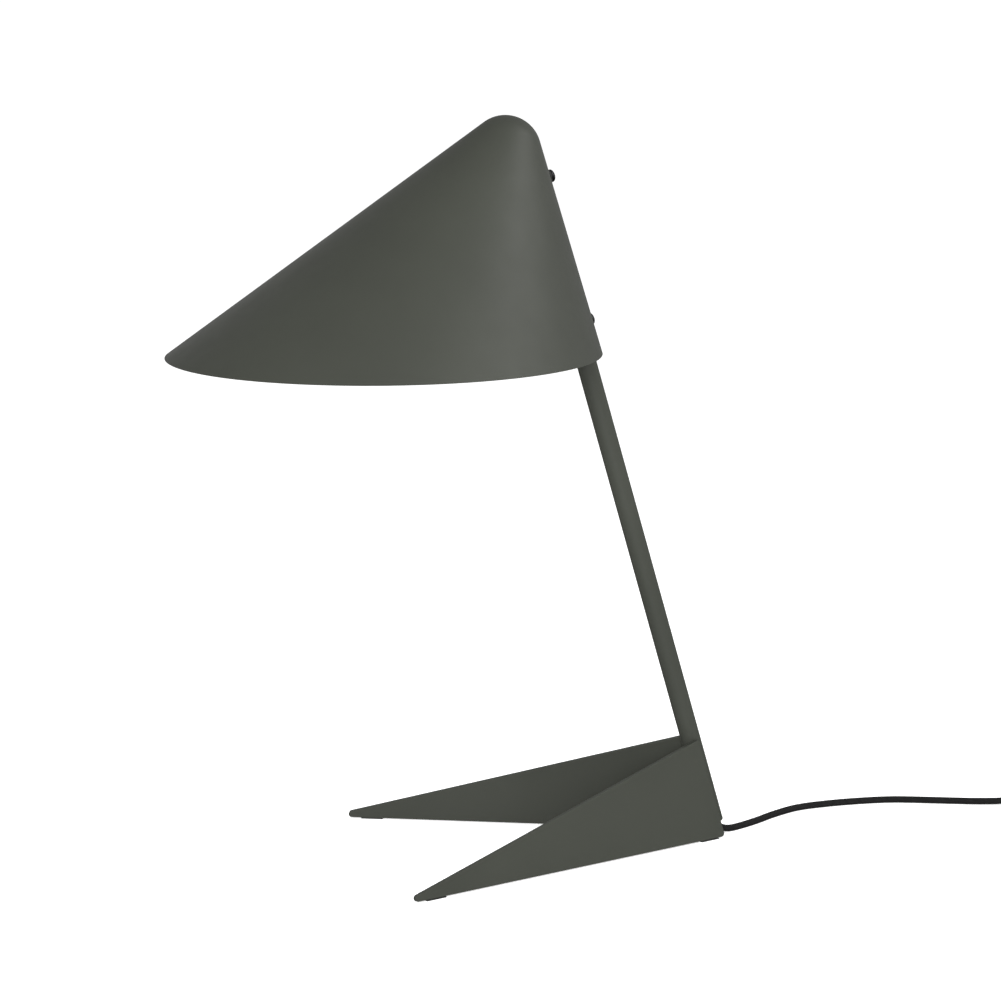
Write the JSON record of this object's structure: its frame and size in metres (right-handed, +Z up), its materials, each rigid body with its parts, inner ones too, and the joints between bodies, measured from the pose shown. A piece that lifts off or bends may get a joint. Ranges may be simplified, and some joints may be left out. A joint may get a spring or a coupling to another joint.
{
  "type": "desk lamp",
  "caption": "Desk lamp with a sheet-metal cone hood on a leaning tube stem, two splayed triangular leg plates, and a textile cord with an in-line switch and a flat plug.",
  "frame": {"origin": "on the surface the lamp stands on, under the middle of the lamp without its free cord", "axes": "+Z up, -X towards the front of the hood, -Y to the lamp's own left"},
  "size_m": [0.8778, 0.3088, 0.5844],
  "materials": {
    "painted_steel": "satin dark grey-green powder coat",
    "black_steel": "blackened steel screws",
    "zinc": "bright zinc or nickel plate",
    "brass": "plain brass",
    "black_rubber": "black rubber",
    "black_plastic": "black moulded plastic",
    "white_plastic": "white moulded plastic",
    "ceramic": "pale glazed insulator",
    "opal_glass": "opal glass",
    "textile_cord": "black braided textile sleeve",
    "live_core": "brown wire insulation",
    "neutral_core": "blue wire insulation"
  },
  "bodies": {
    "lamp": {"centre_contact": "brass", "coil_cord": "textile_cord", "coil_tie": "textile_cord", "cord_bush": "black_plastic", "cord_coil": "textile_cord", "front_switch_relief": "black_rubber", "front_switch_screw": "black_steel", "holder_boss": "painted_steel", "holder_cap": "black_plastic", "holder_core": "ceramic", "holder_nipple": "brass", "holder_skirt": "black_plastic", "hood": "painted_steel", "inner_lead": "textile_cord", "lamp_cord": "textile_cord", "left_heel_pad": "black_rubber", "left_leg": "painted_steel", "left_plug_pin": "zinc", "left_toe_pad": "black_rubber", "live_core": "live_core", "live_terminal": "brass", "lower_hood_screw": "black_steel", "lower_hood_washer": "black_rubber", "lower_threaded_insert": "zinc", "neutral_core": "neutral_core", "neutral_terminal": "brass", "nipple_lock_nut": "zinc", "plug_body": "black_plastic", "plug_cord": "textile_cord", "plug_relief": "black_rubber", "rear_switch_relief": "black_rubber", "rear_switch_screw": "black_steel", "right_heel_pad": "black_rubber", "right_leg": "painted_steel", "right_plug_pin": "zinc", "right_toe_pad": "black_rubber", "rocker_pin": "zinc", "screw_shell_contact": "brass", "stem": "painted_steel", "stem_end_cap": "black_plastic", "switch_contact_strip": "brass", "switch_lower_housing": "black_plastic", "switch_upper_housing": "black_plastic", "upper_hood_screw": "black_steel", "upper_hood_washer": "black_rubber", "upper_threaded_insert": "zinc"},
    "bulb": {"bulb_collar": "white_plastic", "bulb_eyelet": "zinc", "bulb_globe": "opal_glass", "bulb_insulator": "black_plastic", "bulb_led_plate": "ceramic", "bulb_screw_cap": "zinc"},
    "rocker": {"switch_rocker": "black_plastic"}
  },
  "joints": [
    {"name": "bulb_turn", "type": "hinge", "parent": "lamp", "child": "bulb", "pos_m": [-0.0152, 0, 0.4582], "axis": [-0.9613, 0, -0.2756], "continuous": true},
    {"name": "rocker_tilt", "type": "hinge", "parent": "lamp", "child": "rocker", "pos_m": [0.54325, -0.00641, 0.0135], "axis": [0.3891, 0.9212, 0], "range_deg": [-18, 0]}
  ]
}
